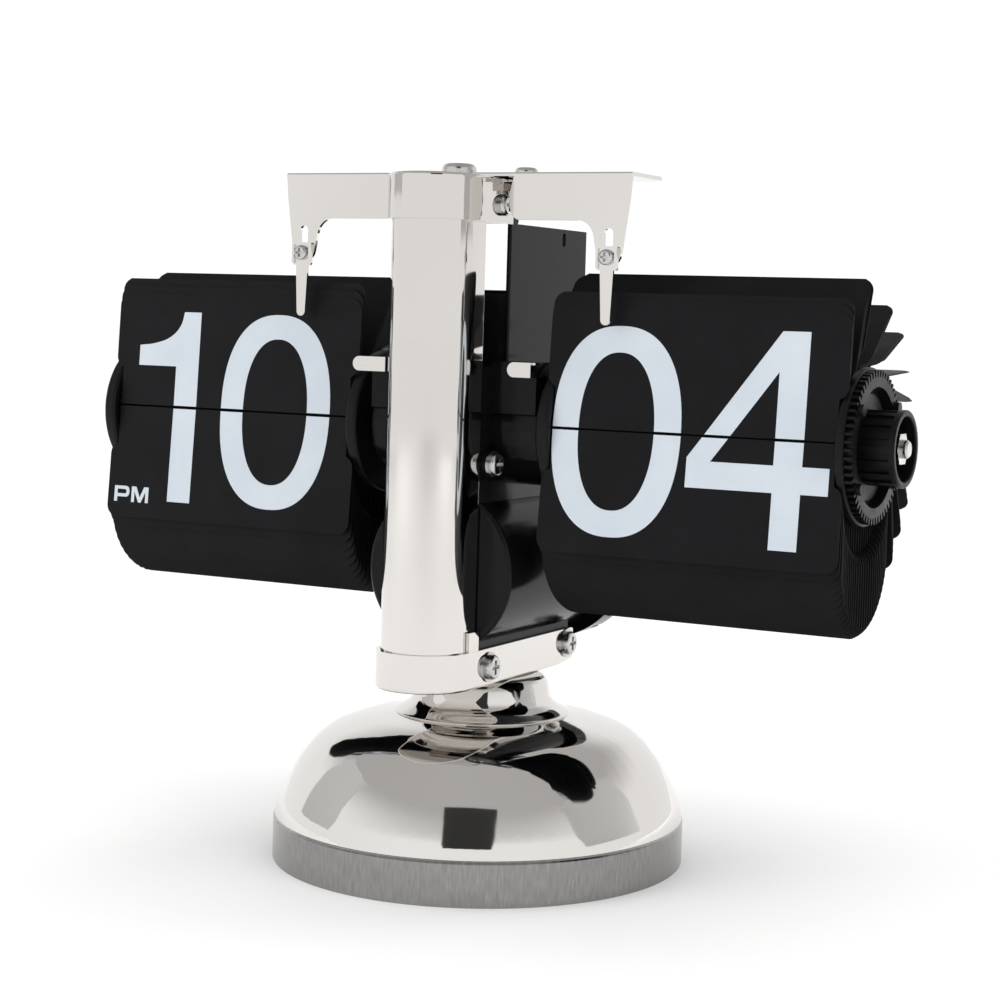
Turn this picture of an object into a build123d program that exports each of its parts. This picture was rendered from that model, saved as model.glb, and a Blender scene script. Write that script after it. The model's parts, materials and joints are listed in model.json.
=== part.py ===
from build123d import *
from math import atan2, cos, degrees, radians, sin
import os

os.makedirs("parts", exist_ok=True)

# Origin: centre of the round foot, on the table. X runs to the minute side, Y to the back.

# Foot
BASE_R = 49.0
RIM_H = 10.1
NECK_TOP = 44.0
SHELL_T = 1.8

# Column and the two caps that clamp it to the movement housing
COL_HALF = 10.4
COL_REAR = -23.0
COL_ROUND = -27.2
CAP_HALF = 11.4
CAP_T = 0.9
CAP_LOW_Z = 44.0
CAP_LOW_H = 8.7
CAP_TOP_Z = 150.5
CAP_TOP_H = 10.5
COL_WALL = 1.0
COL_BOTTOM = CAP_LOW_Z + CAP_T
COL_TOP = CAP_TOP_Z + CAP_TOP_H - CAP_T

# Movement housing and battery barrel
HOUSE_HALF = 10.3
HOUSE_FRONT = -11.2
HOUSE_REAR = 27.6
HOUSE_TOP = 150.8
LEDGE_FRONT = -22.6
LEDGE_TOP = 117.6
BARREL_Z = 70.4
BARREL_R = 19.0
BARREL_BORE = 17.35
BARREL_FRONT = -22.6
BARREL_REAR = 36.2
LID_R = 22.0

# Drums
AXIS_Y = -5.0
AXIS_Z = 103.2
PIN_R = 15.0
DISC_R = 17.4
DISC_T = 3.2
DRUM_IN = 23.8
DRUM_OUT = 98.4
AXLE_R = 2.0
BORE_R = 2.06
CORE_R = 7.5

# Leaves
LEAF_L = 27.0
LEAF_IN = 25.3
LEAF_OUT = 96.9
NOTCH_DEPTH = 2.0
LEAF_ROUND = 3.0
NOTCH_H = 8.3
EAR_LEN = 1.1
EAR_HALF = 0.3
MINUTE_COUNT = 60
MINUTE_T = 0.14
MINUTE_TAIL = 0.6
HOUR_COUNT = 48
HOUR_T = 0.18
HOUR_TAIL = 0.75
FRONT_PIN = 172.0

# Arms over the leaves
ARM_FRONT = -21.3
ARM_T = 0.9
ARM_TOP = 161.9
ARM_LOW = 151.1
ARM_REAR = -2.6
ARM_OUT = 45.7
LEG_OUT = 43.6
LEG_IN = 36.8
LEG_LOW = 140.9
FINGER_X = 40.4
FINGER_SCREW_Z = 142.9

AXIS_PLANE = Plane(origin=(0, AXIS_Y, AXIS_Z), x_dir=(0, 1, 0), z_dir=(1, 0, 0))


def save(builder, label):
    """Label a finished piece and write it as one STEP file."""
    builder.part.label = label
    export_step(builder.part, f"parts/{label}.step")


def side_plane(x, y=0.0, z=0.0):
    """Plane facing +X at x, with its own x along Y and its own y along Z."""
    return Plane(origin=(x, y, z), x_dir=(0, 1, 0), z_dir=(1, 0, 0))


def side_plane_left(x, y=0.0, z=0.0):
    """Plane facing -X at x, with its own x along -Y and its own y along Z."""
    return Plane(origin=(x, y, z), x_dir=(0, -1, 0), z_dir=(-1, 0, 0))


def rear_plane(y, x=0.0, z=0.0):
    """Plane facing +Y at y, with its own x along -X and its own y along Z."""
    return Plane(origin=(x, y, z), x_dir=(-1, 0, 0), z_dir=(0, 1, 0))


def front_plane(y, x=0.0, z=0.0):
    """Plane facing -Y at y, with its own x along +X and its own y along Z."""
    return Plane(origin=(x, y, z), x_dir=(1, 0, 0), z_dir=(0, -1, 0))


def turned_plane(x, y, z, angle):
    """Plane facing +X at x, with its own x turned by angle from Y toward Z."""
    return Plane(origin=(x, y, z), x_dir=(0, cos(radians(angle)), sin(radians(angle))), z_dir=(1, 0, 0))


def pan_screw(planes, head_r, head_h, shank_r, shank_l):
    """Pan-head screws with a cross recess; each plane lies under a head and faces out."""
    with BuildPart() as screw:
        for plane in planes:
            with BuildSketch(plane):
                Circle(head_r)
            extrude(amount=head_h)
            with BuildSketch(plane):
                Circle(shank_r)
            extrude(amount=-shank_l)
        heads = screw.edges().filter_by(GeomType.CIRCLE)
        rims = [
            edge
            for edge in heads
            for plane in planes
            if abs(edge.radius - head_r) < 1e-4
            and abs(plane.to_local_coords(edge.arc_center).Z - head_h) < 1e-4
            and abs(plane.to_local_coords(edge.arc_center).X) < 1e-3
            and abs(plane.to_local_coords(edge.arc_center).Y) < 1e-3
        ]
        fillet(rims, head_h * 0.62)
        for plane in planes:
            with BuildSketch(plane.offset(head_h)):
                Rectangle(head_r * 1.15, head_r * 0.3)
                Rectangle(head_r * 0.3, head_r * 1.15)
            extrude(amount=-head_h * 0.55, mode=Mode.SUBTRACT)
    return screw


def gear_sketch(plane, teeth, root_r, tip_r, root_w, tip_w, bore):
    """Spur wheel outline with straight-flanked teeth and a round hole."""
    with BuildSketch(plane) as wheel:
        Circle(root_r + 0.05)
        with PolarLocations(0, teeth):
            Polygon(
                (root_r - 0.3, -root_w / 2),
                (tip_r, -tip_w / 2),
                (tip_r, tip_w / 2),
                (root_r - 0.3, root_w / 2),
                align=None,
            )
        Circle(bore, mode=Mode.SUBTRACT)
    return wheel


# ---------------------------------------------------------------- foot

with BuildPart() as base_dome:
    with BuildSketch(Plane.XZ):
        with BuildLine():
            Polyline((0, 0), (0, NECK_TOP), (12.4, NECK_TOP))
            neck = Spline(
                (12.4, NECK_TOP),
                (15.4, 42.4),
                (16.3, 39.6),
                (17.6, 36.9),
                (21.0, 34.9),
                (25.5, 33.7),
                tangents=((1, 0), (1, -0.16)),
            )
            Spline(
                neck @ 1,
                (31.0, 32.3),
                (36.0, 30.3),
                (40.6, 26.5),
                (44.4, 21.3),
                (47.2, 15.6),
                (48.7, RIM_H + 0.25),
                tangents=((1, -0.16), (0.14, -1)),
            )
            Polyline(
                (48.7, RIM_H + 0.25),
                (48.55, RIM_H),
                (48.7, RIM_H - 0.25),
                (BASE_R, RIM_H - 0.55),
                (BASE_R, 0),
                (0, 0),
            )
        make_face()
    revolve(axis=Axis.Z)
    with BuildSketch(Plane.XZ):
        with BuildLine():
            Polyline((0, 0), (0, 30.8), (24.0, 30.8))
            Spline(
                (24.0, 30.8),
                (34.8, 28.6),
                (42.4, 20.6),
                (46.6, RIM_H),
                tangents=((1, -0.1), (0.1, -1)),
            )
            Polyline((46.6, RIM_H), (46.6, 0), (0, 0))
        make_face()
    revolve(axis=Axis.Z, mode=Mode.SUBTRACT)
    with BuildSketch(Plane.XY.offset(30.0)):
        Circle(2.2)
    extrude(amount=20, mode=Mode.SUBTRACT)
save(base_dome, "base_dome")

with BuildPart() as base_weight:
    with BuildSketch(Plane.XY.offset(2.6)):
        Circle(42.0)
        Circle(9.0, mode=Mode.SUBTRACT)
    extrude(amount=12.0)
    chamfer(base_weight.edges().group_by(Axis.Z)[-1].sort_by(SortBy.LENGTH)[-1:], 3.0)
save(base_weight, "base_weight")

with BuildPart() as base_plate:
    with BuildSketch(Plane.XY.offset(0.8)):
        Circle(46.5)
    extrude(amount=1.6)
    with BuildSketch(Plane.XY.offset(0.8)):
        with PolarLocations(36.0, 3, start_angle=90):
            Circle(1.3)
    extrude(amount=1.6, mode=Mode.SUBTRACT)
save(base_plate, "base_plate")

with BuildPart() as base_pad:
    with BuildSketch(Plane.XY):
        Circle(46.2)
    extrude(amount=0.8)
save(base_pad, "base_pad")

with BuildPart() as neck_bolt:
    with BuildSketch(Plane.XY.offset(CAP_LOW_Z + CAP_T)):
        RegularPolygon(4.6, 6)
    extrude(amount=2.6)
    chamfer(neck_bolt.edges().group_by(Axis.Z)[-1], 0.5)
    with BuildSketch(Plane.XY.offset(CAP_LOW_Z + CAP_T)):
        Circle(2.0)
    extrude(amount=-(CAP_LOW_Z + CAP_T - 24.6))
save(neck_bolt, "neck_bolt")

with BuildPart() as neck_nut:
    with BuildSketch(Plane.XY.offset(25.8)):
        RegularPolygon(4.4, 6)
        Circle(2.06, mode=Mode.SUBTRACT)
    extrude(amount=3.2)
    with BuildSketch(Plane.XY.offset(29.0)):
        Circle(8.0)
        Circle(2.3, mode=Mode.SUBTRACT)
    extrude(amount=1.8)
save(neck_nut, "neck_nut")

# ---------------------------------------------------------------- column and caps


def d_outline(z, half, rear):
    """Closed D outline at height z: half-round at the front, straight sides to the rear."""
    with BuildSketch(Plane.XY.offset(z)) as outline:
        with BuildLine():
            Polyline((-half, COL_ROUND), (-half, rear), (half, rear), (half, COL_ROUND))
            ThreePointArc((half, COL_ROUND), (0, COL_ROUND - half), (-half, COL_ROUND))
        make_face()
    return outline.sketch


with BuildPart() as column:
    extrude(d_outline(COL_BOTTOM, COL_HALF, COL_REAR), amount=COL_TOP - COL_BOTTOM)
    extrude(
        d_outline(COL_BOTTOM, COL_HALF - COL_WALL, COL_REAR + 1),
        amount=COL_TOP - COL_BOTTOM,
        mode=Mode.SUBTRACT,
    )
    fillet(column.edges().filter_by(Axis.Z).group_by(Axis.Y)[-1], 0.3)
save(column, "column")

with BuildPart() as bottom_cap:
    extrude(d_outline(CAP_LOW_Z, CAP_HALF, 24.6), amount=CAP_LOW_H)
    extrude(
        d_outline(CAP_LOW_Z + CAP_T, CAP_HALF - CAP_T, 30.0),
        amount=CAP_LOW_H,
        mode=Mode.SUBTRACT,
    )
    with BuildSketch(Plane.XY.offset(CAP_LOW_Z)):
        with Locations((0, 20.5)):
            Rectangle(2 * (CAP_HALF - CAP_T), 9.0)
        Circle(2.2)
    extrude(amount=CAP_T, mode=Mode.SUBTRACT)
    with BuildSketch(side_plane(0)):
        with BuildLine():
            Polyline((15, CAP_LOW_Z - 1), (15, CAP_LOW_Z), (26, CAP_LOW_Z + 1.4), (26, CAP_LOW_Z - 1), close=True)
        make_face()
    extrude(amount=20, both=True, mode=Mode.SUBTRACT)
    with BuildSketch(side_plane(0)):
        with Locations((-17.8, 48.4), (21.2, 49.2)):
            Circle(1.7)
    extrude(amount=20, both=True, mode=Mode.SUBTRACT)
    for side in (1, -1):
        with BuildSketch(side_plane(side * (COL_HALF + 0.1))):
            with Locations((-25.0, CAP_LOW_Z + CAP_LOW_H + 1.6)):
                Rectangle(4.4, 5.8)
        extrude(amount=side * (CAP_T - 0.1))
    fillet(bottom_cap.edges().filter_by(Axis.X).group_by(Axis.Y)[-1], 0.8)
    front_rim = bottom_cap.faces().sort_by(Axis.Z)[0].outer_wire().edges().filter_by(GeomType.CIRCLE)
    fillet(front_rim, 0.7)
save(bottom_cap, "bottom_cap")

with BuildPart() as top_cap:
    extrude(d_outline(CAP_TOP_Z, CAP_HALF, -12.4), amount=CAP_TOP_H)
    extrude(
        d_outline(CAP_TOP_Z, CAP_HALF - CAP_T, -10.0),
        amount=CAP_TOP_H - CAP_T,
        mode=Mode.SUBTRACT,
    )
    with BuildSketch(side_plane(0)):
        with Locations((-17.6, 154.6)):
            Circle(1.7)
    extrude(amount=20, both=True, mode=Mode.SUBTRACT)
    with BuildSketch(Plane.XY.offset(CAP_TOP_Z)):
        with Locations((0, -18.2)):
            Circle(1.9)
    extrude(amount=CAP_TOP_H, mode=Mode.SUBTRACT)
    crown = top_cap.faces().sort_by(Axis.Z)[-1].outer_wire().edges()
    fillet(crown.filter_by(GeomType.CIRCLE), 0.8)
save(top_cap, "top_cap")

# ---------------------------------------------------------------- housing and battery

MOTOR_Y = AXIS_Y + 14.14
MOTOR_Z = AXIS_Z + 3.9
WALL = 1.6
DECK_TOP = 135.3
PLATE_T = 1.0
SADDLE_R = BARREL_R + 0.05
SIDE_SCREW_Y = -19.6
SIDE_SCREW_Z = 95.3


def box_sketch(x, y0, y1, z0, z1):
    """Upright rectangle in the YZ plane at x."""
    with BuildSketch(side_plane(x)) as panel:
        with Locations(((y0 + y1) / 2, (z0 + z1) / 2)):
            Rectangle(y1 - y0, z1 - z0)
    return panel.sketch


def housing_half(sign):
    """Half shell of the movement housing, split on the middle plane."""
    with BuildPart() as half:
        extrude(box_sketch(0, HOUSE_FRONT, HOUSE_REAR, 84.0, DECK_TOP), amount=sign * HOUSE_HALF)
        extrude(box_sketch(0, LEDGE_FRONT, HOUSE_FRONT, 84.0, LEDGE_TOP), amount=sign * HOUSE_HALF)
        with BuildSketch(side_plane(sign * HOUSE_HALF, SIDE_SCREW_Y, SIDE_SCREW_Z)):
            Circle(3.0)
        extrude(amount=sign * 1.3)
        outer = half.edges().filter_by(Axis.X)
        fillet(outer.group_by(Axis.Z)[-1], 1.0)
        extrude(
            box_sketch(0, HOUSE_FRONT + WALL, HOUSE_REAR - WALL, 80.0, DECK_TOP - WALL),
            amount=sign * (HOUSE_HALF - WALL),
            mode=Mode.SUBTRACT,
        )
        with BuildSketch(rear_plane(-40, 0, BARREL_Z)):
            Circle(SADDLE_R)
        extrude(amount=90, mode=Mode.SUBTRACT)
        with BuildSketch(side_plane(0)):
            with Locations((AXIS_Y, AXIS_Z)):
                Circle(BORE_R)
            with Locations((MOTOR_Y, MOTOR_Z)):
                Circle(1.5)
            with Locations((SIDE_SCREW_Y, SIDE_SCREW_Z)):
                Circle(1.45)
        extrude(amount=sign * 20, mode=Mode.SUBTRACT)
    return half


# The right half carries a thin side plate that runs up to the arms. Behind the column the
# housing stays open above its deck.
with BuildPart() as housing_right:
    add(housing_half(1).part)
    extrude(box_sketch(HOUSE_HALF, HOUSE_FRONT, HOUSE_REAR, DECK_TOP - 2.0, HOUSE_TOP), amount=-PLATE_T)
    with BuildSketch(side_plane(0)):
        with Locations((15.6, 148.2)):
            SlotOverall(3.4, 1.7, rotation=90)
    extrude(amount=20, mode=Mode.SUBTRACT)
    front_edge = (
        housing_right.edges()
        .filter_by(Axis.Z)
        .filter_by(lambda e: abs(e.center().Y - HOUSE_FRONT) < 0.01 and abs(e.center().X - HOUSE_HALF) < 0.01)
    )
    chamfer(front_edge, 0.35)
save(housing_right, "housing_right")

housing_left = housing_half(-1)
save(housing_left, "housing_left")

with BuildPart() as battery_barrel:
    with BuildSketch(rear_plane(BARREL_FRONT, 0, BARREL_Z)):
        Circle(BARREL_R)
    extrude(amount=BARREL_REAR - BARREL_FRONT)
    with BuildSketch(rear_plane(BARREL_REAR - 3.4, 0, BARREL_Z)):
        Circle(LID_R)
    extrude(amount=3.4)
    fillet(battery_barrel.edges().filter_by(GeomType.CIRCLE).group_by(Axis.Y)[0], 1.2)
    extrude(box_sketch(0, -20.6, 24.0, 45.2, 60.0), amount=10.2, both=True)
    with BuildSketch(rear_plane(BARREL_FRONT + 1.2, 0, BARREL_Z)):
        Circle(BARREL_BORE)
    extrude(amount=80, mode=Mode.SUBTRACT)
    with BuildSketch(Plane.XY.offset(44.0)):
        Circle(6.0)
    extrude(amount=4.6, mode=Mode.SUBTRACT)
    with BuildSketch(side_plane(0)):
        with Locations((-17.8, 48.4), (21.2, 49.2)):
            Circle(1.45)
    extrude(amount=20, both=True, mode=Mode.SUBTRACT)
save(battery_barrel, "battery_barrel")

with BuildPart() as battery_contact:
    with BuildSketch(rear_plane(BARREL_FRONT + 1.2, 0, BARREL_Z)):
        Circle(9.0)
    extrude(amount=0.4)
    with BuildSketch(rear_plane(BARREL_FRONT + 1.6, 0, BARREL_Z)):
        Circle(5.0)
    extrude(amount=1.4, taper=30)
save(battery_contact, "battery_contact")

with BuildPart() as battery_cell:
    with BuildSketch(rear_plane(-19.5, 0, BARREL_Z)):
        Circle(16.9)
    extrude(amount=58.0)
    fillet(battery_cell.edges().filter_by(GeomType.CIRCLE), 0.8)
    with BuildSketch(rear_plane(38.5, 0, BARREL_Z)):
        Circle(4.6)
    extrude(amount=1.4)
save(battery_cell, "battery_cell")

with BuildPart() as battery_cap:
    with BuildSketch(rear_plane(BARREL_REAR, 0, BARREL_Z)):
        Circle(LID_R)
    extrude(amount=5.4)
    fillet(battery_cap.edges().filter_by(GeomType.CIRCLE).group_by(Axis.Y)[-1], 1.2)
    with BuildSketch(rear_plane(BARREL_REAR, 0, BARREL_Z)):
        Circle(BARREL_BORE)
    extrude(amount=4.2, mode=Mode.SUBTRACT)
    with BuildSketch(rear_plane(BARREL_REAR + 4.6, 0, BARREL_Z)):
        Rectangle(22.0, 2.4)
    extrude(amount=2, mode=Mode.SUBTRACT)
    with BuildSketch(rear_plane(BARREL_REAR, 0, BARREL_Z)):
        with PolarLocations(LID_R, 24):
            Circle(0.7)
    extrude(amount=5.4, mode=Mode.SUBTRACT)
save(battery_cap, "battery_cap")

with BuildPart() as cap_contact:
    with BuildSketch(rear_plane(BARREL_REAR + 3.85, 0, BARREL_Z)):
        Circle(7.0)
    extrude(amount=0.35)
save(cap_contact, "cap_contact")

with BuildPart() as motor:
    with BuildSketch(side_plane(-7.4, MOTOR_Y, MOTOR_Z)):
        Circle(8.4)
    extrude(amount=15.4)
    chamfer(motor.edges().filter_by(GeomType.CIRCLE), 0.6)
    with BuildSketch(side_plane(-8.6, MOTOR_Y, MOTOR_Z)):
        Rectangle(6.0, 14.0)
    extrude(amount=1.2)
    with BuildSketch(side_plane(-3.0, MOTOR_Y, MOTOR_Z)):
        Circle(1.06)
    extrude(amount=20, mode=Mode.SUBTRACT)
save(motor, "motor")

PINION_TEETH = 12
WHEEL_TEETH = 36
MESH_ANGLE = degrees(atan2(MOTOR_Z - AXIS_Z, MOTOR_Y - AXIS_Y))

with BuildPart() as motor_pinion:
    with BuildSketch(side_plane(-2.6, MOTOR_Y, MOTOR_Z)):
        Circle(1.0)
    extrude(amount=19.4)
    pinion_plane = turned_plane(12.6, MOTOR_Y, MOTOR_Z, MESH_ANGLE + 180 + 180 / PINION_TEETH)
    gear = gear_sketch(pinion_plane, PINION_TEETH, 2.93, 4.02, 1.31, 0.34, 0.9)
    extrude(gear.sketch, amount=3.2)
save(motor_pinion, "motor_pinion")

with BuildPart() as top_block:
    extrude(box_sketch(0, -22.4, -8.0, HOUSE_TOP, COL_TOP), amount=10.4, both=True)
    fillet(top_block.edges().filter_by(Axis.X), 0.6)
    with BuildSketch(side_plane(0)):
        with Locations((-17.6, 154.6)):
            Circle(1.45)
    extrude(amount=20, both=True, mode=Mode.SUBTRACT)
    with BuildSketch(Plane.XY.offset(HOUSE_TOP)):
        with Locations((0, -18.2)):
            Circle(1.65)
    extrude(amount=20, mode=Mode.SUBTRACT)
save(top_block, "top_block")

# ---------------------------------------------------------------- arms and fingers

BRACE_SCREW = (14.4, -12.2)

with BuildPart() as arm_bridge:
    with BuildSketch(Plane.XY.offset(ARM_TOP - ARM_T)):
        with BuildLine():
            Polyline(
                (-ARM_OUT, ARM_FRONT),
                (ARM_OUT, ARM_FRONT),
                (ARM_OUT, ARM_REAR - 3.0),
                (ARM_OUT - 3.0, ARM_REAR),
                (-ARM_OUT + 3.0, ARM_REAR),
                (-ARM_OUT, ARM_REAR - 3.0),
                close=True,
            )
        make_face()
        with Locations((0, -18.2), BRACE_SCREW):
            Circle(1.65, mode=Mode.SUBTRACT)
    extrude(amount=ARM_T)
    for side in (1, -1):
        with BuildSketch(front_plane(ARM_FRONT)):
            with BuildLine():
                Polyline(
                    (side * 16.4, ARM_TOP),
                    (side * ARM_OUT, ARM_TOP),
                    (side * 45.2, 156.0),
                    (side * (FINGER_X + 3.1), 143.6),
                )
                ThreePointArc(
                    (side * (FINGER_X + 3.1), 143.6),
                    (side * FINGER_X, LEG_LOW),
                    (side * (FINGER_X - 3.0), 143.6),
                )
                Polyline((side * (FINGER_X - 3.0), 143.6), (side * 36.6, 147.6))
                Spline(
                    (side * 36.6, 147.6),
                    (side * 35.4, 149.9),
                    (side * 32.6, ARM_LOW),
                    tangents=((side * -0.2, 1), (side * -1, 0.05)),
                )
                Polyline((side * 32.6, ARM_LOW), (side * 17.6, ARM_LOW))
                Spline(
                    (side * 17.6, ARM_LOW),
                    (side * 15.2, 154.2),
                    (side * 16.4, ARM_TOP),
                    tangents=((side * -1, 0.2), (side * 0.3, 1)),
                )
            make_face()
            with Locations((side * FINGER_X, 145.2)):
                SlotOverall(8.4, 2.2, rotation=90, mode=Mode.SUBTRACT)
        extrude(amount=-ARM_T)
    bend = (
        arm_bridge.edges()
        .filter_by(Axis.X)
        .filter_by(lambda e: abs(e.center().Y - ARM_FRONT) < 0.01 and abs(e.center().Z - ARM_TOP) < 0.01)
    )
    fillet(bend, 0.5)
save(arm_bridge, "arm_bridge")


def finger(side):
    """Retaining finger: square head behind the screw and a tapering spring blade below."""
    with BuildPart() as blade:
        with BuildSketch(front_plane(ARM_FRONT)):
            with Locations((side * FINGER_X, 142.7)):
                RectangleRounded(5.2, 5.4, 0.5)
            with BuildLine():
                Polyline(
                    (side * FINGER_X - 1.7, 141.0),
                    (side * FINGER_X - 1.15, 129.1),
                )
                ThreePointArc(
                    (side * FINGER_X - 1.15, 129.1),
                    (side * FINGER_X, 127.9),
                    (side * FINGER_X + 1.15, 129.1),
                )
                Polyline(
                    (side * FINGER_X + 1.15, 129.1),
                    (side * FINGER_X + 1.7, 141.0),
                    (side * FINGER_X - 1.7, 141.0),
                )
            make_face()
            with Locations((side * FINGER_X, FINGER_SCREW_Z)):
                Circle(1.06, mode=Mode.SUBTRACT)
        extrude(amount=0.6)
        for edge_x in (-2.6, 2.0):
            with BuildSketch(front_plane(ARM_FRONT - 0.6)):
                with Locations((side * FINGER_X + edge_x + 0.3, 142.7)):
                    Rectangle(0.6, 4.4)
            extrude(amount=0.5)
    return blade


minute_finger = finger(1)
save(minute_finger, "minute_finger")

hour_finger = finger(-1)
save(hour_finger, "hour_finger")

minute_finger_screw = pan_screw(
    [front_plane(ARM_FRONT - 0.6, FINGER_X, FINGER_SCREW_Z)], 1.8, 1.3, 1.0, 3.4
)
save(minute_finger_screw, "minute_finger_screw")

hour_finger_screw = pan_screw(
    [front_plane(ARM_FRONT - 0.6, -FINGER_X, FINGER_SCREW_Z)], 1.8, 1.3, 1.0, 3.4
)
save(hour_finger_screw, "hour_finger_screw")

# ---------------------------------------------------------------- screws and washers

top_screw = pan_screw([Plane.XY.offset(ARM_TOP).move(Location((0, -18.2, 0)))], 4.0, 2.2, 1.6, 9.0)
save(top_screw, "top_screw")

arm_screw = pan_screw([Plane.XY.offset(ARM_TOP).move(Location((*BRACE_SCREW, 0)))], 2.7, 1.7, 1.6, 4.6)
save(arm_screw, "arm_screw")

with BuildPart() as arm_brace:
    with BuildSketch(Plane.XY.offset(ARM_TOP - ARM_T - 0.9)):
        with Locations(BRACE_SCREW):
            Rectangle(5.8, 6.6)
        with Locations((13.85, -10.55)):
            Rectangle(6.9, 3.3)
        with Locations(BRACE_SCREW):
            Circle(1.65, mode=Mode.SUBTRACT)
    extrude(amount=0.9)
    with BuildSketch(Plane.XY.offset(152.4)):
        with Locations((10.85, -10.55)):
            Rectangle(0.9, 3.3)
    extrude(amount=ARM_TOP - ARM_T - 152.4)
    with BuildSketch(Plane.XY.offset(ARM_TOP - ARM_T - 0.9)):
        with Locations(BRACE_SCREW):
            RegularPolygon(2.9, 6)
            Circle(1.65, mode=Mode.SUBTRACT)
    extrude(amount=-2.0)
save(arm_brace, "arm_brace")

CAP_SCREW_SEATS = [
    side_plane(CAP_HALF + 0.4, -17.8, 48.4),
    side_plane(CAP_HALF + 0.4, 21.2, 49.2),
    side_plane_left(-CAP_HALF - 0.4, -17.8, 48.4),
    side_plane_left(-CAP_HALF - 0.4, 21.2, 49.2),
]

cap_screws = pan_screw(CAP_SCREW_SEATS, 2.9, 1.4, 1.4, 8.0)
save(cap_screws, "cap_screws")

with BuildPart() as cap_washers:
    for seat in CAP_SCREW_SEATS:
        with BuildSketch(seat):
            Circle(3.5)
            Circle(1.5, mode=Mode.SUBTRACT)
        extrude(amount=-0.4)
save(cap_washers, "cap_washers")

ear_screws = pan_screw(
    [side_plane(CAP_HALF, -17.6, 154.6), side_plane_left(-CAP_HALF, -17.6, 154.6)], 2.5, 1.8, 1.4, 8.0
)
save(ear_screws, "ear_screws")

LEDGE_SEATS = [
    side_plane(HOUSE_HALF + 1.9, SIDE_SCREW_Y, SIDE_SCREW_Z),
    side_plane_left(-HOUSE_HALF - 1.9, SIDE_SCREW_Y, SIDE_SCREW_Z),
]

ledge_screws = pan_screw(LEDGE_SEATS, 2.7, 1.5, 1.4, 8.0)
save(ledge_screws, "ledge_screws")

with BuildPart() as ledge_washers:
    for seat in LEDGE_SEATS:
        with BuildSketch(seat):
            Circle(3.1)
            Circle(1.5, mode=Mode.SUBTRACT)
        extrude(amount=-0.6)
save(ledge_washers, "ledge_washers")

# ---------------------------------------------------------------- gear covers and guides

COVER_OUT = 21.9
COVER_R = 13.2
HUB_R = 4.2


def cover_sketch(x, inset):
    """Outline of a gear cover: the wheel's round end joined to the pinion's."""
    with BuildSketch(side_plane(x)) as outline:
        with Locations((AXIS_Y, AXIS_Z)):
            Circle(COVER_R - inset)
        with Locations((MOTOR_Y, MOTOR_Z)):
            Circle(5.9 - inset)
        make_hull()
    return outline.sketch


def gear_cover(sign):
    """Cup over one wheel train, open toward the housing."""
    with BuildPart() as cover:
        extrude(cover_sketch(sign * HOUSE_HALF, 0), amount=sign * (COVER_OUT - HOUSE_HALF))
        extrude(box_sketch(sign * HOUSE_HALF, -18.6, -8.0, 107.0, 118.9), amount=sign * (COVER_OUT - HOUSE_HALF))
        extrude(
            cover_sketch(sign * HOUSE_HALF, 1.2),
            amount=sign * (COVER_OUT - HOUSE_HALF - 1.4),
            mode=Mode.SUBTRACT,
        )
        with BuildSketch(side_plane(0, AXIS_Y, AXIS_Z)):
            Circle(HUB_R + 0.5)
        extrude(amount=sign * 40, mode=Mode.SUBTRACT)
    return cover


minute_cover = gear_cover(1)
save(minute_cover, "minute_gear_cover")

hour_cover = gear_cover(-1)
save(hour_cover, "hour_gear_cover")


def leaf_guide(x_round, x_end, x_fold, reach):
    """Sheet tab: a front plate with one round end and a return bent back along the cover."""
    with BuildPart() as tab:
        with BuildSketch(front_plane(-22.0)):
            with Locations(((x_round + x_end) / 2 + 0.85, 117.2)):
                Rectangle(abs(x_end - x_round) - 1.7, 3.4)
            with Locations((x_round + 1.7, 117.2)):
                Circle(1.7)
        extrude(amount=0.5)
        with BuildSketch(Plane.XY.offset(115.5)):
            with Locations((x_fold, (-22.5 + reach) / 2)):
                Rectangle(0.5, reach + 22.5)
        extrude(amount=3.4)
        with BuildSketch(Plane.XY.offset(118.4)):
            with Locations((x_fold, -21.0)):
                Rectangle(2.4, 2.0)
        extrude(amount=0.5)
    return tab


minute_guide = leaf_guide(16.4, 22.4, COVER_OUT + 0.25, -9.0)
save(minute_guide, "minute_leaf_guide")

hour_guide = leaf_guide(-24.9, -16.0, -COVER_OUT - 0.25, -9.0)
save(hour_guide, "hour_leaf_guide")

# ---------------------------------------------------------------- axle and drums

with BuildPart() as axle:
    with BuildSketch(side_plane(-100.2, AXIS_Y, AXIS_Z)):
        Circle(AXLE_R)
    extrude(amount=206.3)
    chamfer(axle.edges().filter_by(GeomType.CIRCLE), 0.4)
save(axle, "axle")

with BuildPart() as axle_nuts:
    with BuildSketch(side_plane(102.2, AXIS_Y, AXIS_Z)):
        RegularPolygon(3.8, 6)
        Circle(AXLE_R + 0.04, mode=Mode.SUBTRACT)
    extrude(amount=2.4)
    with BuildSketch(side_plane(101.5, AXIS_Y, AXIS_Z)):
        Circle(4.8)
        Circle(AXLE_R + 0.04, mode=Mode.SUBTRACT)
    extrude(amount=0.7)
    with BuildSketch(side_plane(-99.6, AXIS_Y, AXIS_Z)):
        RegularPolygon(3.8, 6)
        Circle(AXLE_R + 0.04, mode=Mode.SUBTRACT)
    extrude(amount=2.2)
save(axle_nuts, "axle_nuts")


def disc_sketch(x):
    """Plain ring of a drum end disc at x."""
    with BuildSketch(side_plane(x, AXIS_Y, AXIS_Z)) as ring:
        Circle(DISC_R)
        Circle(BORE_R, mode=Mode.SUBTRACT)
    return ring.sketch


def ear_groove(x):
    """Annular groove that clears the leaf ears."""
    with BuildSketch(side_plane(x, AXIS_Y, AXIS_Z)) as ring:
        Circle(PIN_R + 0.8)
        Circle(PIN_R - 0.8, mode=Mode.SUBTRACT)
    return ring.sketch


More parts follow.
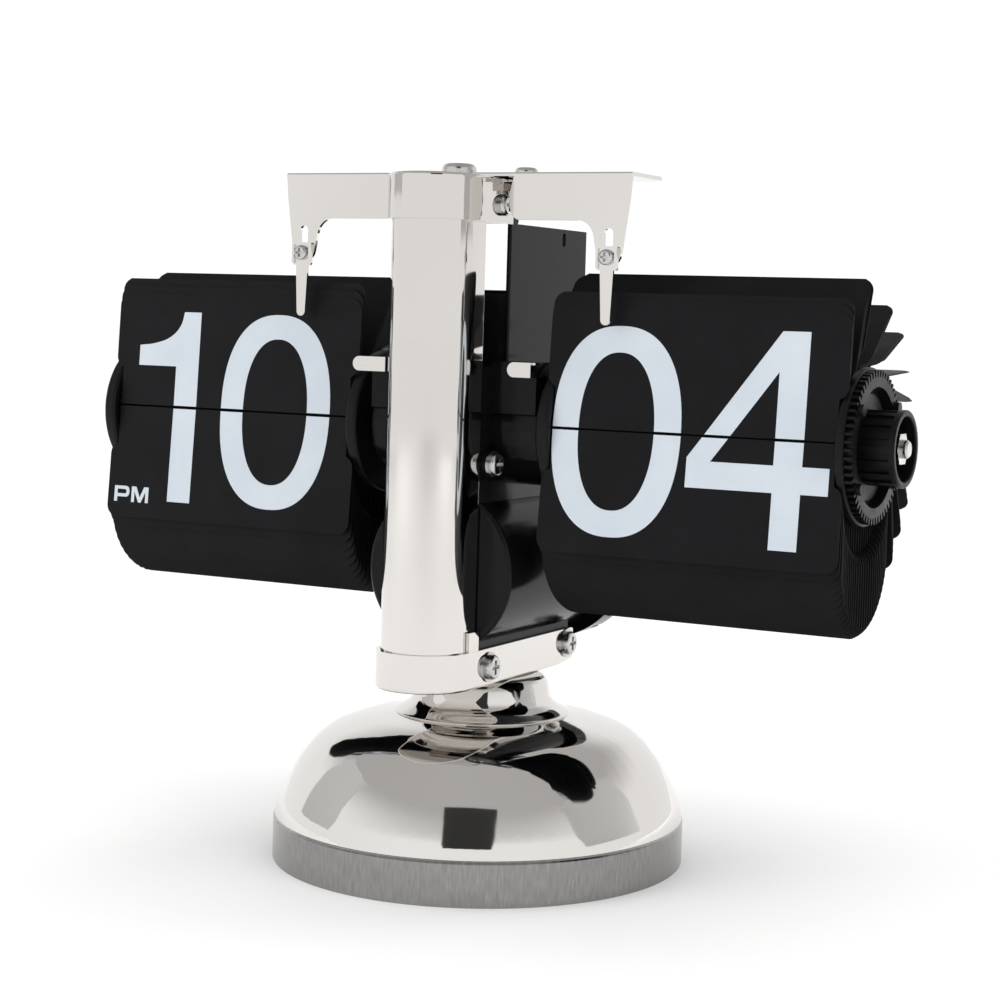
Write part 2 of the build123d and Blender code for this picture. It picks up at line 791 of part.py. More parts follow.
def end_disc(x_face, sign, thickness=DISC_T, rounding=0.9):
    """Drum end disc: x_face carries the groove and the spigot, the body lies on the other side."""
    with BuildPart() as disc:
        extrude(disc_sketch(x_face), amount=-sign * thickness)
        extrude(ear_groove(x_face), amount=-sign * 1.3, mode=Mode.SUBTRACT)
        with BuildSketch(side_plane(x_face, AXIS_Y, AXIS_Z)):
            Circle(CORE_R - 1.15)
            Circle(BORE_R, mode=Mode.SUBTRACT)
        extrude(amount=sign * 4.0)
        outer = disc.edges().filter_by(GeomType.CIRCLE)
        fillet([edge for edge in outer if abs(edge.radius - DISC_R) < 0.01], rounding)
    return disc


def drum_core(x0, x1):
    """Tube that joins the two end discs."""
    with BuildPart() as tube:
        with BuildSketch(side_plane(x0, AXIS_Y, AXIS_Z)):
            Circle(CORE_R)
            Circle(CORE_R - 1.1, mode=Mode.SUBTRACT)
        extrude(amount=x1 - x0)
    return tube


minute_inner_disc = end_disc(DRUM_IN + DISC_T, 1)
save(minute_inner_disc, "minute_inner_disc")

RING_X = DRUM_OUT - DISC_T + 1.8
POCKET_X = RING_X - 0.8

with BuildPart() as minute_outer_disc:
    add(end_disc(DRUM_OUT - DISC_T, -1, 1.8, 0.5).part)
    with BuildSketch(side_plane(POCKET_X, AXIS_Y, AXIS_Z)):
        Circle(13.2)
    extrude(amount=2.0, mode=Mode.SUBTRACT)
save(minute_outer_disc, "minute_outer_disc")

minute_core = drum_core(DRUM_IN + DISC_T, DRUM_OUT - DISC_T)
save(minute_core, "minute_core")

hour_inner_disc = end_disc(-DRUM_IN - DISC_T, -1)
save(hour_inner_disc, "hour_inner_disc")

with BuildPart() as hour_outer_disc:
    add(end_disc(-DRUM_OUT + DISC_T, 1).part)
    with BuildSketch(side_plane(-DRUM_OUT, AXIS_Y, AXIS_Z)):
        Circle(5.4)
    extrude(amount=1.2, mode=Mode.SUBTRACT)
save(hour_outer_disc, "hour_outer_disc")

hour_core = drum_core(-DRUM_OUT + DISC_T, -DRUM_IN - DISC_T)
save(hour_core, "hour_core")

with BuildPart() as minute_ring_gear:
    outer_teeth = gear_sketch(side_plane(RING_X, AXIS_Y, AXIS_Z), 60, 15.3, 16.8, 1.05, 0.65, 13.2)
    extrude(outer_teeth.sketch, amount=1.7)
    with BuildSketch(side_plane(RING_X + 1.7, AXIS_Y, AXIS_Z)):
        for angle in (35, 145, 215, 325):
            with Locations((14.6 * cos(radians(angle)), 14.6 * sin(radians(angle)))):
                Circle(1.3)
    extrude(amount=1.1)
save(minute_ring_gear, "minute_ring_gear")

KNOB_END = 105.4

with BuildPart() as minute_knob:
    with BuildSketch(side_plane(POCKET_X, AXIS_Y, AXIS_Z)):
        Circle(11.6)
    extrude(amount=0.7)
    with BuildSketch(side_plane(POCKET_X + 0.7, AXIS_Y, AXIS_Z)):
        Circle(7.7)
        with PolarLocations(7.7, 16):
            Rectangle(1.0, 1.5)
    extrude(amount=KNOB_END - POCKET_X - 0.7)
    with BuildSketch(side_plane(KNOB_END - 1.4, AXIS_Y, AXIS_Z)):
        Circle(8.5)
    extrude(amount=1.4)
    with BuildSketch(side_plane(KNOB_END - 4.4, AXIS_Y, AXIS_Z)):
        Circle(7.1)
    extrude(amount=5, mode=Mode.SUBTRACT)
    with BuildSketch(side_plane(POCKET_X, AXIS_Y, AXIS_Z)):
        Circle(BORE_R)
    extrude(amount=12, mode=Mode.SUBTRACT)
    rim = minute_knob.edges().filter_by(GeomType.CIRCLE).group_by(Axis.X)[-1]
    fillet(rim, 0.4)
save(minute_knob, "minute_knob")

with BuildPart() as minute_drive_wheel:
    wheel_plane = turned_plane(12.6, AXIS_Y, AXIS_Z, MESH_ANGLE)
    wheel_teeth = gear_sketch(wheel_plane, WHEEL_TEETH, 10.32, 11.37, 1.13, 0.45, BORE_R)
    extrude(wheel_teeth.sketch, amount=3.2)
    with BuildSketch(side_plane(12.6, AXIS_Y, AXIS_Z)):
        Circle(HUB_R)
        Circle(BORE_R, mode=Mode.SUBTRACT)
    extrude(amount=DRUM_IN - 12.6)
save(minute_drive_wheel, "minute_drive_wheel")

with BuildPart() as hour_index_wheel:
    star_plane = side_plane(-15.8, AXIS_Y, AXIS_Z)
    star = gear_sketch(star_plane, 24, 9.4, 11.4, 1.8, 0.5, BORE_R)
    extrude(star.sketch, amount=3.2)
    with BuildSketch(side_plane(-DRUM_IN, AXIS_Y, AXIS_Z)):
        Circle(HUB_R)
        Circle(BORE_R, mode=Mode.SUBTRACT)
    extrude(amount=DRUM_IN - 12.6)
save(hour_index_wheel, "hour_index_wheel")

# ---------------------------------------------------------------- leaves

# The leaves rest in bunches. Each row is the pin angle where a bunch starts, going from the front
# over the top and down the back, and the angle that its leaves lie at, from the back (+Y) upward.
MINUTE_BUNCHES = (
    (180, 85.5),
    (155, 71),
    (131, 68),
    (125, 39.5),
    (107, 22),
    (89, 3),
    (77, -10.5),
    (65, -22.5),
    (53, -33.5),
    (35, -52),
    (17, -66.5),
    (5, -79.5),
    (-13, -90),
    (-175, -93),
    (-181, -96.2),
)
HOUR_BUNCHES = (
    (180, 86.5),
    (150, 62.5),
    (128, 39.5),
    (105, 18),
    (90, 3),
    (75, -12.5),
    (60, -27),
    (45, -42),
    (30, -57),
    (15, -72),
    (0, -84),
    (-14, -90),
    (-170, -91.5),
    (-179, -94.5),
)


def lie_angle(pin, bunches):
    """Angle that the leaf on a pin lies at: that of the last bunch started before it."""
    return [lie for start, lie in bunches if pin <= start][-1]


def leaf_sketch(pin, bunches, side, tail):
    """Leaf outline on its own plane: notched ends, hinge ears and rounded free corners."""
    lie = lie_angle(pin, bunches)
    centre = side * (LEAF_IN + LEAF_OUT) / 2
    half = (LEAF_OUT - LEAF_IN) / 2
    neck = half - NOTCH_DEPTH
    origin = (centre, AXIS_Y + PIN_R * cos(radians(pin)), AXIS_Z + PIN_R * sin(radians(pin)))
    normal = (0, -sin(radians(lie)), cos(radians(lie)))
    with BuildSketch(Plane(origin=origin, x_dir=(1, 0, 0), z_dir=normal)) as outline:
        with Locations((0, (LEAF_L - tail) / 2)):
            Rectangle(2 * neck, LEAF_L + tail)
        with Locations((0, (LEAF_L + NOTCH_H) / 2)):
            RectangleRounded(2 * half, LEAF_L - NOTCH_H, LEAF_ROUND)
        Rectangle(2 * (neck + EAR_LEN), 2 * EAR_HALF)
    return outline.sketch


def leaf_pack(pins, bunches, side, tail, thickness):
    """Leaves on the given pins, as separate plates in one piece."""
    with BuildPart() as pack:
        for pin in pins:
            extrude(leaf_sketch(pin, bunches, side, tail), amount=thickness / 2, both=True)
    return pack


MINUTE_STEP = 360 / MINUTE_COUNT
HOUR_STEP = 360 / HOUR_COUNT
minute_pins = [FRONT_PIN - MINUTE_STEP * k for k in range(MINUTE_COUNT)]
hour_pins = [FRONT_PIN - HOUR_STEP * k for k in range(HOUR_COUNT)]

minute_leaf_top = leaf_pack(minute_pins[:1], MINUTE_BUNCHES, 1, MINUTE_TAIL, MINUTE_T)
save(minute_leaf_top, "minute_leaf_top")

minute_leaves_upper = leaf_pack(minute_pins[1:13], MINUTE_BUNCHES, 1, MINUTE_TAIL, MINUTE_T)
save(minute_leaves_upper, "minute_leaves_upper")

minute_leaves_rear = leaf_pack(minute_pins[13:31], MINUTE_BUNCHES, 1, MINUTE_TAIL, MINUTE_T)
save(minute_leaves_rear, "minute_leaves_rear")

minute_leaves_lower = leaf_pack(minute_pins[31:59], MINUTE_BUNCHES, 1, MINUTE_TAIL, MINUTE_T)
save(minute_leaves_lower, "minute_leaves_lower")

minute_leaf_front = leaf_pack(minute_pins[59:], MINUTE_BUNCHES, 1, MINUTE_TAIL, MINUTE_T)
save(minute_leaf_front, "minute_leaf_front")

hour_leaf_top = leaf_pack(hour_pins[:1], HOUR_BUNCHES, -1, HOUR_TAIL, HOUR_T)
save(hour_leaf_top, "hour_leaf_top")

hour_leaves_upper = leaf_pack(hour_pins[1:10], HOUR_BUNCHES, -1, HOUR_TAIL, HOUR_T)
save(hour_leaves_upper, "hour_leaves_upper")

hour_leaves_rear = leaf_pack(hour_pins[10:25], HOUR_BUNCHES, -1, HOUR_TAIL, HOUR_T)
save(hour_leaves_rear, "hour_leaves_rear")

hour_leaves_lower = leaf_pack(hour_pins[25:47], HOUR_BUNCHES, -1, HOUR_TAIL, HOUR_T)
save(hour_leaves_lower, "hour_leaves_lower")

hour_leaf_front = leaf_pack(hour_pins[47:], HOUR_BUNCHES, -1, HOUR_TAIL, HOUR_T)
save(hour_leaf_front, "hour_leaf_front")
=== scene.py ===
import json
import math

import bmesh
import bpy
from mathutils import Matrix, Vector


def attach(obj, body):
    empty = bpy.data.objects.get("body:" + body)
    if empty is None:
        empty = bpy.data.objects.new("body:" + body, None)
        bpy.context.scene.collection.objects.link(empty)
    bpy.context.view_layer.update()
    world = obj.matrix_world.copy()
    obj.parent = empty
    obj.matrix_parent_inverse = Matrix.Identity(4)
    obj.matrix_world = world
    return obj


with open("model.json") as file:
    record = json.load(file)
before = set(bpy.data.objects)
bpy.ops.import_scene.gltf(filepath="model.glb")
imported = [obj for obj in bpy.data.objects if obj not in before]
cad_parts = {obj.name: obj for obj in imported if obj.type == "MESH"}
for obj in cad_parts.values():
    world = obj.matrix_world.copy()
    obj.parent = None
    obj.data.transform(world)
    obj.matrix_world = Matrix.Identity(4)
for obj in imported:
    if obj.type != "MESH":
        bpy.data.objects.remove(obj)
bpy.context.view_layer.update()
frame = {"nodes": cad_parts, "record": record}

MM = 0.001
SATIN_AND_PAINTED_SHADE_TOP = 0.0104  # heights in metres where the foot's satin rim ends and is satin throughout; below them the plating's colour is also darkened as painted shade
SATIN_AND_PAINTED_SHADE_FULL = 0.0099


# ---------------------------------------------------------------- materials

class Nodes:
    """Small helper around one material's node tree."""

    def __init__(self, name):
        self.mat = bpy.data.materials.new(name)
        self.mat.use_nodes = True
        self.tree = self.mat.node_tree
        self.bsdf = self.tree.nodes["Principled BSDF"]
        self.coord = self.tree.nodes.new("ShaderNodeTexCoord")

    def set(self, **values):
        for key, value in values.items():
            self.bsdf.inputs[key.replace("_", " ")].default_value = value
        return self

    def add(self, kind, **props):
        node = self.tree.nodes.new(kind)
        for key, value in props.items():
            setattr(node, key, value)
        return node

    def link(self, a, b):
        self.tree.links.new(a, b)

    def mapping(self, scale):
        node = self.add("ShaderNodeMapping")
        node.inputs["Scale"].default_value = scale
        self.link(self.coord.outputs["Object"], node.inputs["Vector"])
        return node.outputs["Vector"]

    def noise(self, scale, detail=4.0, roughness=0.55, stretch=(1, 1, 1)):
        node = self.add("ShaderNodeTexNoise")
        node.inputs["Scale"].default_value = scale
        node.inputs["Detail"].default_value = detail
        node.inputs["Roughness"].default_value = roughness
        self.link(self.mapping(stretch), node.inputs["Vector"])
        return node.outputs["Fac"]

    def ramp(self, source, low, high, c0, c1):
        node = self.add("ShaderNodeValToRGB")
        node.color_ramp.elements[0].position = low
        node.color_ramp.elements[0].color = (*c0, 1)
        node.color_ramp.elements[1].position = high
        node.color_ramp.elements[1].color = (*c1, 1)
        self.link(source, node.inputs["Fac"])
        return node.outputs["Color"]

    def remap(self, source, a, b, c, d):
        node = self.add("ShaderNodeMapRange")
        node.inputs["From Min"].default_value = a
        node.inputs["From Max"].default_value = b
        node.inputs["To Min"].default_value = c
        node.inputs["To Max"].default_value = d
        self.link(source, node.inputs["Value"])
        return node.outputs["Result"]

    def math(self, operation, a, b):
        node = self.add("ShaderNodeMath", operation=operation)
        for slot, value in zip(node.inputs, (a, b)):
            if isinstance(value, (int, float)):
                slot.default_value = value
            else:
                self.link(value, slot)
        return node.outputs["Value"]

    def bump(self, source, strength, distance):
        node = self.add("ShaderNodeBump")
        node.inputs["Strength"].default_value = strength
        node.inputs["Distance"].default_value = distance
        self.link(source, node.inputs["Height"])
        self.link(node.outputs["Normal"], self.bsdf.inputs["Normal"])


def chrome_material(name, satin_rim_and_painted_shade=False):
    """Polished plating with faint wiping marks; the foot's rim is satin with upright strokes, and its
    darker grey colour there is painted shade.
    """
    n = Nodes(name)
    n.set(Metallic=1.0)
    smudge = n.noise(38, 6, 0.6)
    tint = n.ramp(n.noise(9, 3), 0.3, 0.75, (0.66, 0.635, 0.61), (0.76, 0.74, 0.715))
    gloss = n.remap(smudge, 0.35, 0.75, 0.03, 0.09)
    if satin_rim_and_painted_shade:
        parts = n.add("ShaderNodeSeparateXYZ")
        n.link(n.coord.outputs["Object"], parts.inputs["Vector"])
        angle = n.math("ARCTAN2", parts.outputs["Y"], parts.outputs["X"])
        join = n.add("ShaderNodeCombineXYZ")
        n.link(angle, join.inputs["X"])
        n.link(n.math("MULTIPLY", parts.outputs["Z"], 3.0), join.inputs["Y"])
        stroke = n.add("ShaderNodeTexNoise")
        stroke.inputs["Scale"].default_value = 90
        stroke.inputs["Detail"].default_value = 5
        n.link(join.outputs["Vector"], stroke.inputs["Vector"])
        satin_and_painted_shade_band = n.remap(parts.outputs["Z"], SATIN_AND_PAINTED_SHADE_TOP, SATIN_AND_PAINTED_SHADE_FULL, 0.0, 1.0)
        satin = n.remap(stroke.outputs["Fac"], 0.3, 0.7, 0.16, 0.28)
        blend = n.add("ShaderNodeMix")
        n.link(satin_and_painted_shade_band, blend.inputs["Factor"])
        n.link(gloss, blend.inputs["A"])
        n.link(satin, blend.inputs["B"])
        gloss = blend.outputs["Result"]
        shade = n.add("ShaderNodeMix", data_type="RGBA")
        n.link(satin_and_painted_shade_band, shade.inputs["Factor"])
        n.link(tint, shade.inputs[6])
        # painted shade: the rim's plating colour drops to dark grey, varied by the satin strokes
        stroke_greys_and_painted_shade = n.ramp(stroke.outputs["Fac"], 0.3, 0.7, (0.25, 0.245, 0.24), (0.35, 0.34, 0.335))
        n.link(stroke_greys_and_painted_shade, shade.inputs[7])
        tint = shade.outputs[2]
        n.bump(n.math("MULTIPLY", stroke.outputs["Fac"], satin_and_painted_shade_band), 0.25, 0.00006)
    else:
        n.bump(n.noise(900, 2, 0.5, (1, 1, 0.06)), 0.035, 0.00002)
    n.link(tint, n.bsdf.inputs["Base Color"])
    n.link(gloss, n.bsdf.inputs["Roughness"])
    return n.mat


def steel_material(name, colour=(0.62, 0.61, 0.60)):
    """Nickel-plated turned steel with fine marks."""
    n = Nodes(name)
    n.set(Metallic=1.0)
    tint = n.ramp(n.noise(420, 3), 0.3, 0.8, tuple(0.8 * c for c in colour), colour)
    n.link(tint, n.bsdf.inputs["Base Color"])
    n.link(n.remap(n.noise(650, 4), 0.3, 0.7, 0.14, 0.30), n.bsdf.inputs["Roughness"])
    n.bump(n.noise(1500, 3), 0.12, 0.00003)
    return n.mat


def plastic_material(name, dark, light, rough, grain, depth, shine=0.5):
    """Moulded plastic: two close tones, uneven gloss and a fine grain."""
    n = Nodes(name)
    n.set(Specular_IOR_Level=shine)
    n.link(n.ramp(n.noise(60, 5), 0.35, 0.75, dark, light), n.bsdf.inputs["Base Color"])
    n.link(n.remap(n.noise(150, 4), 0.3, 0.7, *rough), n.bsdf.inputs["Roughness"])
    n.bump(n.noise(grain, 3), 0.2, depth)
    return n.mat


MATERIALS = {
    "chrome": chrome_material("chrome_plating"),
    "chrome_foot": chrome_material("chrome_foot_plating_painted_shade", satin_rim_and_painted_shade=True),
    "screw_steel": steel_material("nickel_steel"),
    "plate_steel": steel_material("zinc_sheet", (0.5, 0.5, 0.49)),
    "contact_metal": steel_material("spring_contact", (0.72, 0.62, 0.38)),
    "gloss_black": plastic_material(
        "gloss_black_plastic", (0.004, 0.004, 0.0045), (0.006, 0.006, 0.007), (0.12, 0.2), 500, 0.00002,
        shine=0.14,
    ),
    "matte_black": plastic_material(
        "satin_black_plastic", (0.003, 0.003, 0.0035), (0.006, 0.006, 0.007), (0.3, 0.45), 1400, 0.00003,
        shine=0.16,
    ),
    "leaf_black": plastic_material(
        "black_leaf_card", (0.004, 0.004, 0.005), (0.0065, 0.0065, 0.008), (0.46, 0.58), 2600, 0.00001,
        shine=0.14,
    ),
    "gear_plastic": plastic_material(
        "natural_gear_plastic", (0.55, 0.54, 0.50), (0.68, 0.67, 0.62), (0.35, 0.5), 1200, 0.00002
    ),
    "foot_rubber": plastic_material(
        "foot_pad", (0.015, 0.015, 0.015), (0.03, 0.03, 0.03), (0.7, 0.85), 1800, 0.00008
    ),
    "weight_iron": plastic_material(
        "cast_weight", (0.06, 0.06, 0.058), (0.12, 0.115, 0.11), (0.6, 0.8), 700, 0.0002
    ),
    "cell_metal": plastic_material(
        "cell_sleeve", (0.05, 0.06, 0.09), (0.07, 0.08, 0.11), (0.25, 0.35), 900, 0.00001
    ),
    "digit": plastic_material(
        "printed_numeral", (0.56, 0.62, 0.68), (0.62, 0.67, 0.73), (0.42, 0.52), 2200, 0.00001
    ),
}

slot_of = {row["node"]: row["material_slot"] for row in frame["record"]["subparts"]}
for node_name, obj in frame["nodes"].items():
    kind = "chrome_foot" if node_name == "base_dome" else slot_of[node_name]
    for slot in obj.material_slots:
        slot.material = MATERIALS[kind]
    if not obj.material_slots:
        obj.data.materials.append(MATERIALS[kind])

# ---------------------------------------------------------------- numerals

# Glyph outlines in mm: x across the leaf from the glyph's own left side, z up from its foot.
# A point is (x, z) for a corner and (x, z, True) where the outline runs on smoothly.


def ring(cx, cz, half_w, half_h, square, count=56):
    """Closed rounded outline of a zero."""
    points = []
    for k in range(count):
        a = 2 * math.pi * k / count
        c, s = math.cos(a), math.sin(a)
        x = cx + half_w * math.copysign(abs(c) ** (2 / square), c)
        z = cz + half_h * math.copysign(abs(s) ** (2 / square), s)
        points.append((x, z, True))
    return points


ZERO = [ring(15.8, 23.5, 15.8, 23.5, 2.35), ring(15.8, 23.5, 9.3, 17.6, 2.25)]
FOUR = [
    [(21.0, 47.0), (27.4, 47.0), (27.2, 18.1), (33.4, 18.1), (33.4, 12.2), (27.2, 12.2), (27.2, 0.0),
     (20.7, 0.0), (20.7, 12.2), (0.3, 12.2), (0.3, 18.8)],
    [(20.7, 38.2), (20.6, 18.1), (5.9, 18.1)],
]
ONE = [
    [(18.2, 0.0), (11.4, 0.0), (11.4, 33.5), (0.0, 33.5), (0.0, 38.5), (5.0, 39.2, True), (9.6, 41.0, True),
     (12.2, 43.8, True), (13.1, 47.0), (18.2, 47.0)],
]
FIVE = [
    [(4.4, 46.4), (28.6, 46.4), (28.6, 40.4), (9.6, 40.4), (7.2, 27.6), (10.6, 29.9, True),
     (16.0, 31.1, True), (24.2, 28.9, True), (29.6, 22.6, True), (31.0, 15.4, True), (29.2, 7.6, True),
     (23.6, 1.6, True), (15.0, -0.5, True), (6.4, 1.8, True), (1.2, 7.6, True), (0.1, 12.6), (6.6, 12.6),
     (8.2, 8.4, True), (15.0, 5.0, True), (22.0, 8.2, True), (24.4, 15.2, True), (22.4, 22.2, True),
     (15.2, 25.6, True), (10.2, 24.4, True), (6.8, 21.2), (1.0, 21.4)],
]
LETTER_P = [
    [(0, 0), (0, 3.9), (3.7, 3.9), (4.3, 3.6, True), (4.6, 2.9, True), (4.6, 2.2, True), (4.3, 1.5, True),
     (3.7, 1.2), (0.95, 1.2), (0.95, 0)],
    [(0.95, 2.0), (3.3, 2.0), (3.65, 2.3, True), (3.65, 2.8, True), (3.3, 3.1), (0.95, 3.1)],
]
LETTER_M = [
    [(0, 0), (0, 3.9), (1.4, 3.9), (2.6, 1.3), (3.8, 3.9), (5.2, 3.9), (5.2, 0), (4.3, 0), (4.3, 2.7),
     (3.0, 0), (2.2, 0), (0.9, 2.7), (0.9, 0)],
]


def outline_mesh(name, glyphs):
    """Flat filled mesh in x and z, in mm, of glyph outlines placed at (x, z)."""
    curve = bpy.data.curves.new(name + "_outline", "CURVE")
    curve.dimensions = "2D"
    curve.fill_mode = "BOTH"
    curve.resolution_u = 6
    for loops, dx, dz in glyphs:
        for loop in loops:
            spline = curve.splines.new("BEZIER")
            spline.bezier_points.add(len(loop) - 1)
            spline.use_cyclic_u = True
            for point, spec in zip(spline.bezier_points, loop):
                smooth = len(spec) == 3
                point.co = (spec[0] + dx, spec[1] + dz, 0)
                point.handle_left_type = point.handle_right_type = "AUTO" if smooth else "VECTOR"
    holder = bpy.data.objects.new(name + "_outline", curve)
    bpy.context.scene.collection.objects.link(holder)
    bpy.context.view_layer.update()
    mesh = bpy.data.meshes.new_from_object(holder.evaluated_get(bpy.context.evaluated_depsgraph_get()))
    bpy.data.objects.remove(holder)
    bpy.data.curves.remove(curve)
    return mesh


AXIS_Y = -5.0
AXIS_Z = 103.2
PIN_R = 15.0
FILM = 0.015  # height of the printed film's face over the leaf
FILM_GAP = 0.003  # how far the film's back stays off the leaf

# Each drum: middle of its leaves in x, half a leaf's thickness, heights of the pins of the front
# upper and the front lower leaf, how far past its pin a leaf may be printed, the pin angles of the
# top leaf, the one behind it and the front lower one, and the directions they stand and hang in.
MINUTE = {
    "x": 61.1, "half": 0.07, "upper": 105.29, "lower": 103.72, "past": 0.45,
    "top_pin": 172, "next_pin": 166, "low_pin": 178, "stands": 85.5, "hangs": -96.2,
}
HOUR = {
    "x": -61.1, "half": 0.09, "upper": 105.29, "lower": 103.33, "past": 0.6,
    "top_pin": 172, "next_pin": 164.5, "low_pin": 179.5, "stands": 86.5, "hangs": -94.5,
}


def numeral(name, glyphs, drum, pin, lie, upper, outward, body):
    """Prints the upper or the lower half of a number on one face of a leaf.

    pin is the leaf's pin angle on its drum and lie the leaf's direction, both in degrees from +Y
    upward. outward is +1 for the face on the upright leaf's front side and -1 for its back side.
    """
    mesh = outline_mesh(name, glyphs)
    bm = bmesh.new()
    bm.from_mesh(mesh)
    bpy.data.meshes.remove(mesh)
    pin_height = drum["upper"] if upper else drum["lower"]
    edge = pin_height - drum["past"] if upper else pin_height + drum["past"]
    bmesh.ops.bisect_plane(
        bm,
        geom=bm.verts[:] + bm.edges[:] + bm.faces[:],
        plane_co=(0, edge, 0),
        plane_no=(0, 1, 0),
        clear_inner=upper,
        clear_outer=not upper,
    )
    bmesh.ops.dissolve_limit(bm, angle_limit=0.01, verts=bm.verts[:], edges=bm.edges[:])
    turn = math.radians(lie)
    along = Vector((0, math.cos(turn), math.sin(turn)))
    face = outward * Vector((0, -math.sin(turn), math.cos(turn)))
    start = Vector((
        drum["x"],
        AXIS_Y + PIN_R * math.cos(math.radians(pin)),
        AXIS_Z + PIN_R * math.sin(math.radians(pin)),
    ))
    for v in bm.verts:
        run = v.co.y - pin_height if upper else pin_height - v.co.y
        across = Vector((v.co.x, 0, 0))
        v.co = (start + along * run + face * (drum["half"] + FILM) + across) * MM
    made = bmesh.ops.extrude_face_region(bm, geom=bm.faces[:])
    back = [g for g in made["geom"] if isinstance(g, bmesh.types.BMVert)]
    bmesh.ops.translate(bm, verts=back, vec=-face * (FILM - FILM_GAP) * MM)
    bmesh.ops.recalc_face_normals(bm, faces=bm.faces[:])
    mesh = bpy.data.meshes.new(name)
    bm.to_mesh(mesh)
    bm.free()
    obj = bpy.data.objects.new(name, mesh)
    bpy.context.scene.collection.objects.link(obj)
    mesh.materials.append(MATERIALS["digit"])
    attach(obj, body)


FOOT = 80.9  # heights of the foot of the numbers and of the PM mark
MARK_FOOT = 80.1
now_minute = [(ZERO, -33.9, FOOT), (FOUR, -0.8, FOOT)]
next_minute = [(ZERO, -33.9, FOOT), (FIVE, 0.6, FOOT)]
now_hour = [(ONE, -28.9, FOOT), (ZERO, -3.2, FOOT)]
next_hour = [(ONE, -28.9, FOOT), (ONE, 5.6, FOOT)]
pm_mark = [(LETTER_P, -33.8, MARK_FOOT), (LETTER_M, -28.5, MARK_FOOT)]

for side, drum, now, following, mark in (
    ("minute", MINUTE, now_minute, next_minute, []),
    ("hour", HOUR, now_hour, next_hour, pm_mark),
):
    top, stands, leaf = drum["top_pin"], drum["stands"], side + "_leaf"
    numeral(side + "_now_upper", now, drum, top, stands, True, 1, leaf)
    numeral(side + "_now_lower", now + mark, drum, drum["low_pin"], drum["hangs"], False, -1, "clock_frame")
    numeral(side + "_next_lower", following + mark, drum, top, stands, False, -1, leaf)
    numeral(side + "_next_upper", following, drum, drum["next_pin"], stands, True, 1, "clock_frame")

# ---------------------------------------------------------------- studio

FLOOR_HALF = 12.0
# The surround is white up to about 20 degrees over the horizon and grey from about 43 degrees up, so
# that the plating has a tone to mirror. Each end is the direction's Z and its tone.
SKY_LEVEL = (0.34, (1.04, 1.04, 1.04, 1))
SKY_ABOVE = (0.68, (0.52, 0.515, 0.51, 1))

floor_mesh = bpy.data.meshes.new("studio_floor")
bm = bmesh.new()
bmesh.ops.create_grid(bm, x_segments=1, y_segments=1, size=FLOOR_HALF)
bm.to_mesh(floor_mesh)
bm.free()
floor = bpy.data.objects.new("studio_floor", floor_mesh)
bpy.context.scene.collection.objects.link(floor)
floor_mat = Nodes("pale_floor")
floor_mat.set(Base_Color=(0.96, 0.96, 0.96, 1), Roughness=0.8)
floor_mesh.materials.append(floor_mat.mat)

world = bpy.data.worlds.new("studio_world")
bpy.context.scene.world = world
world.use_nodes = True
sky = world.node_tree
direction = sky.nodes.new("ShaderNodeTexCoord")
height = sky.nodes.new("ShaderNodeSeparateXYZ")
sky.links.new(direction.outputs["Generated"], height.inputs["Vector"])
shade = sky.nodes.new("ShaderNodeValToRGB")
shade.color_ramp.interpolation = "EASE"
for end, (place, tone) in zip(shade.color_ramp.elements, (SKY_LEVEL, SKY_ABOVE)):
    end.position = place
    end.color = tone
sky.links.new(height.outputs["Z"], shade.inputs["Fac"])
sky.links.new(shade.outputs["Color"], sky.nodes["Background"].inputs["Color"])


def area_light(name, place, target, size, size_y, power):
    data = bpy.data.lights.new(name, "AREA")
    data.shape = "RECTANGLE"
    data.size = size
    data.size_y = size_y
    data.energy = power
    obj = bpy.data.objects.new(name, data)
    obj.location = place
    direction = Vector(target) - Vector(place)
    obj.rotation_euler = direction.to_track_quat("-Z", "Y").to_euler()
    obj.visible_glossy = False
    bpy.context.scene.collection.objects.link(obj)


area_light("key_left", (-0.9, -0.9, 0.9), (0, 0, 0.09), 0.9, 1.0, 5)
area_light("fill_right", (1.2, -0.5, 0.5), (0, 0, 0.1), 0.7, 1.0, 2)
area_light("back_soft", (0.8, 1.3, 0.35), (0, 0, 0.1), 1.0, 0.7, 9)

overhead = bpy.data.lights.new("overhead_soft", "SUN")
overhead.energy = 1.3
overhead.angle = 1.4
overhead_light = bpy.data.objects.new("overhead_soft", overhead)
overhead_light.visible_glossy = False
bpy.context.scene.collection.objects.link(overhead_light)


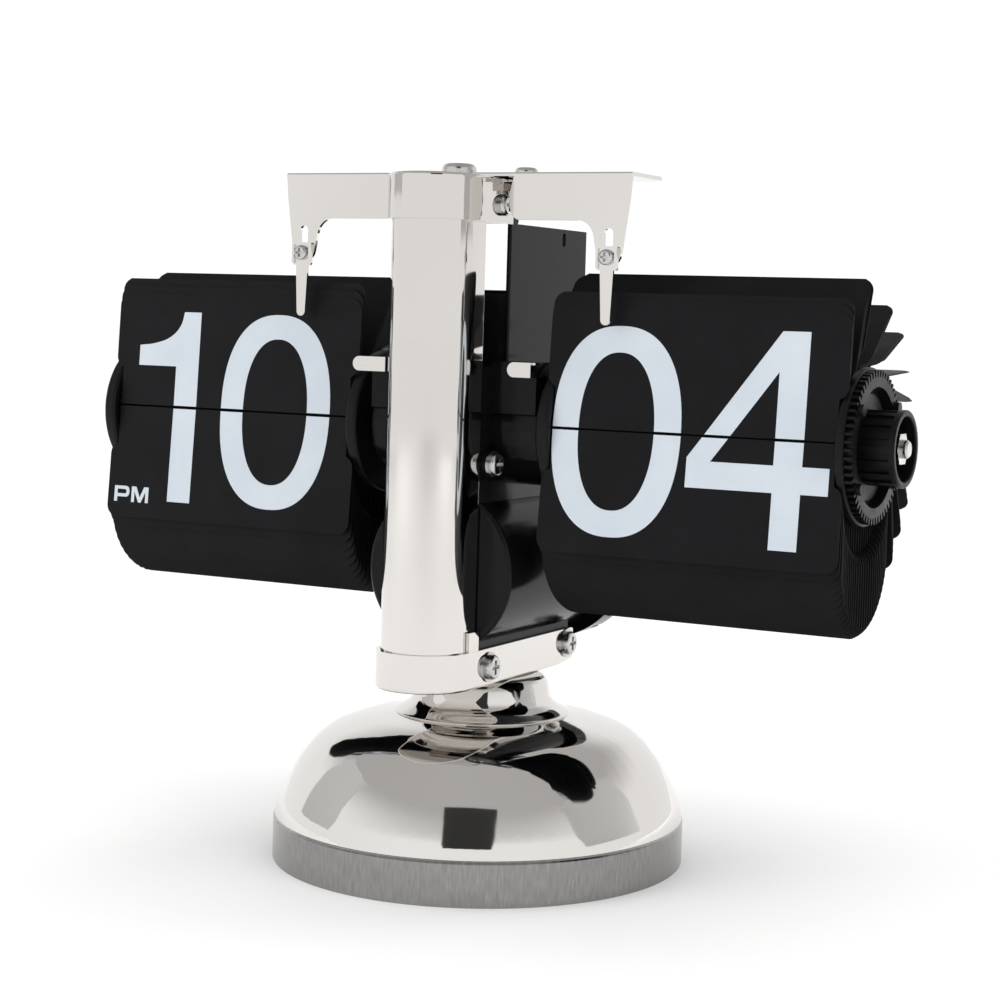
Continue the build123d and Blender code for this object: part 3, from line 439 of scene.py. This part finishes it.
def card(name, place, target, width, height, tone):
    """Plain studio card outside the picture, which the plating mirrors."""
    mesh = bpy.data.meshes.new(name)
    bm = bmesh.new()
    bmesh.ops.create_grid(bm, x_segments=1, y_segments=1, size=0.5)
    bm.to_mesh(mesh)
    bm.free()
    obj = bpy.data.objects.new(name, mesh)
    obj.scale = (width, height, 1)
    obj.location = place
    obj.rotation_euler = (Vector(target) - Vector(place)).to_track_quat("-Z", "Y").to_euler()
    bpy.context.scene.collection.objects.link(obj)
    n = Nodes(name + "_paper")
    n.set(Base_Color=(tone, tone, tone, 1), Roughness=0.9)
    mesh.materials.append(n.mat)


card("dark_card_front", (0.62, -1.45, 0.92), (0, 0, 0.05), 0.85, 1.0, 0.02)
card("grey_card_right", (1.25, 0.45, 0.62), (0, 0, 0.05), 1.1, 0.9, 0.5)
card("grey_card_left", (-1.35, -0.35, 0.66), (0, 0, 0.05), 0.8, 0.9, 0.55)
bpy.context.scene.view_settings.view_transform = "Standard"

# The photograph's viewing angle, place and lens, from the perspective fit.
AZIMUTH, ELEVATION, ROLL = math.radians(26.04), math.radians(1.87), math.radians(1.78)
CAMERA_PLACE = (0.24513, -0.43928, 0.12826)
SENSOR, LENS = 36.0, 75.55
SHIFT_X, SHIFT_Y = -0.1059, -0.1078

camera_data = bpy.data.cameras.new("camera")
camera = bpy.data.objects.new("camera", camera_data)
bpy.context.scene.collection.objects.link(camera)
level = math.cos(ELEVATION)
back = Vector((math.sin(AZIMUTH) * level, -math.cos(AZIMUTH) * level, math.sin(ELEVATION)))
right = Vector((math.cos(AZIMUTH), math.sin(AZIMUTH), 0))
up = back.cross(right)
right_r = right * math.cos(ROLL) + up * math.sin(ROLL)
up_r = -right * math.sin(ROLL) + up * math.cos(ROLL)
rotation = Matrix((right_r, up_r, back)).transposed().to_4x4()
camera.matrix_world = Matrix.Translation(CAMERA_PLACE) @ rotation
camera_data.sensor_width = SENSOR
camera_data.lens = LENS
camera_data.shift_x = SHIFT_X
camera_data.shift_y = SHIFT_Y
camera_data.clip_start = 0.01
bpy.context.scene.camera = camera
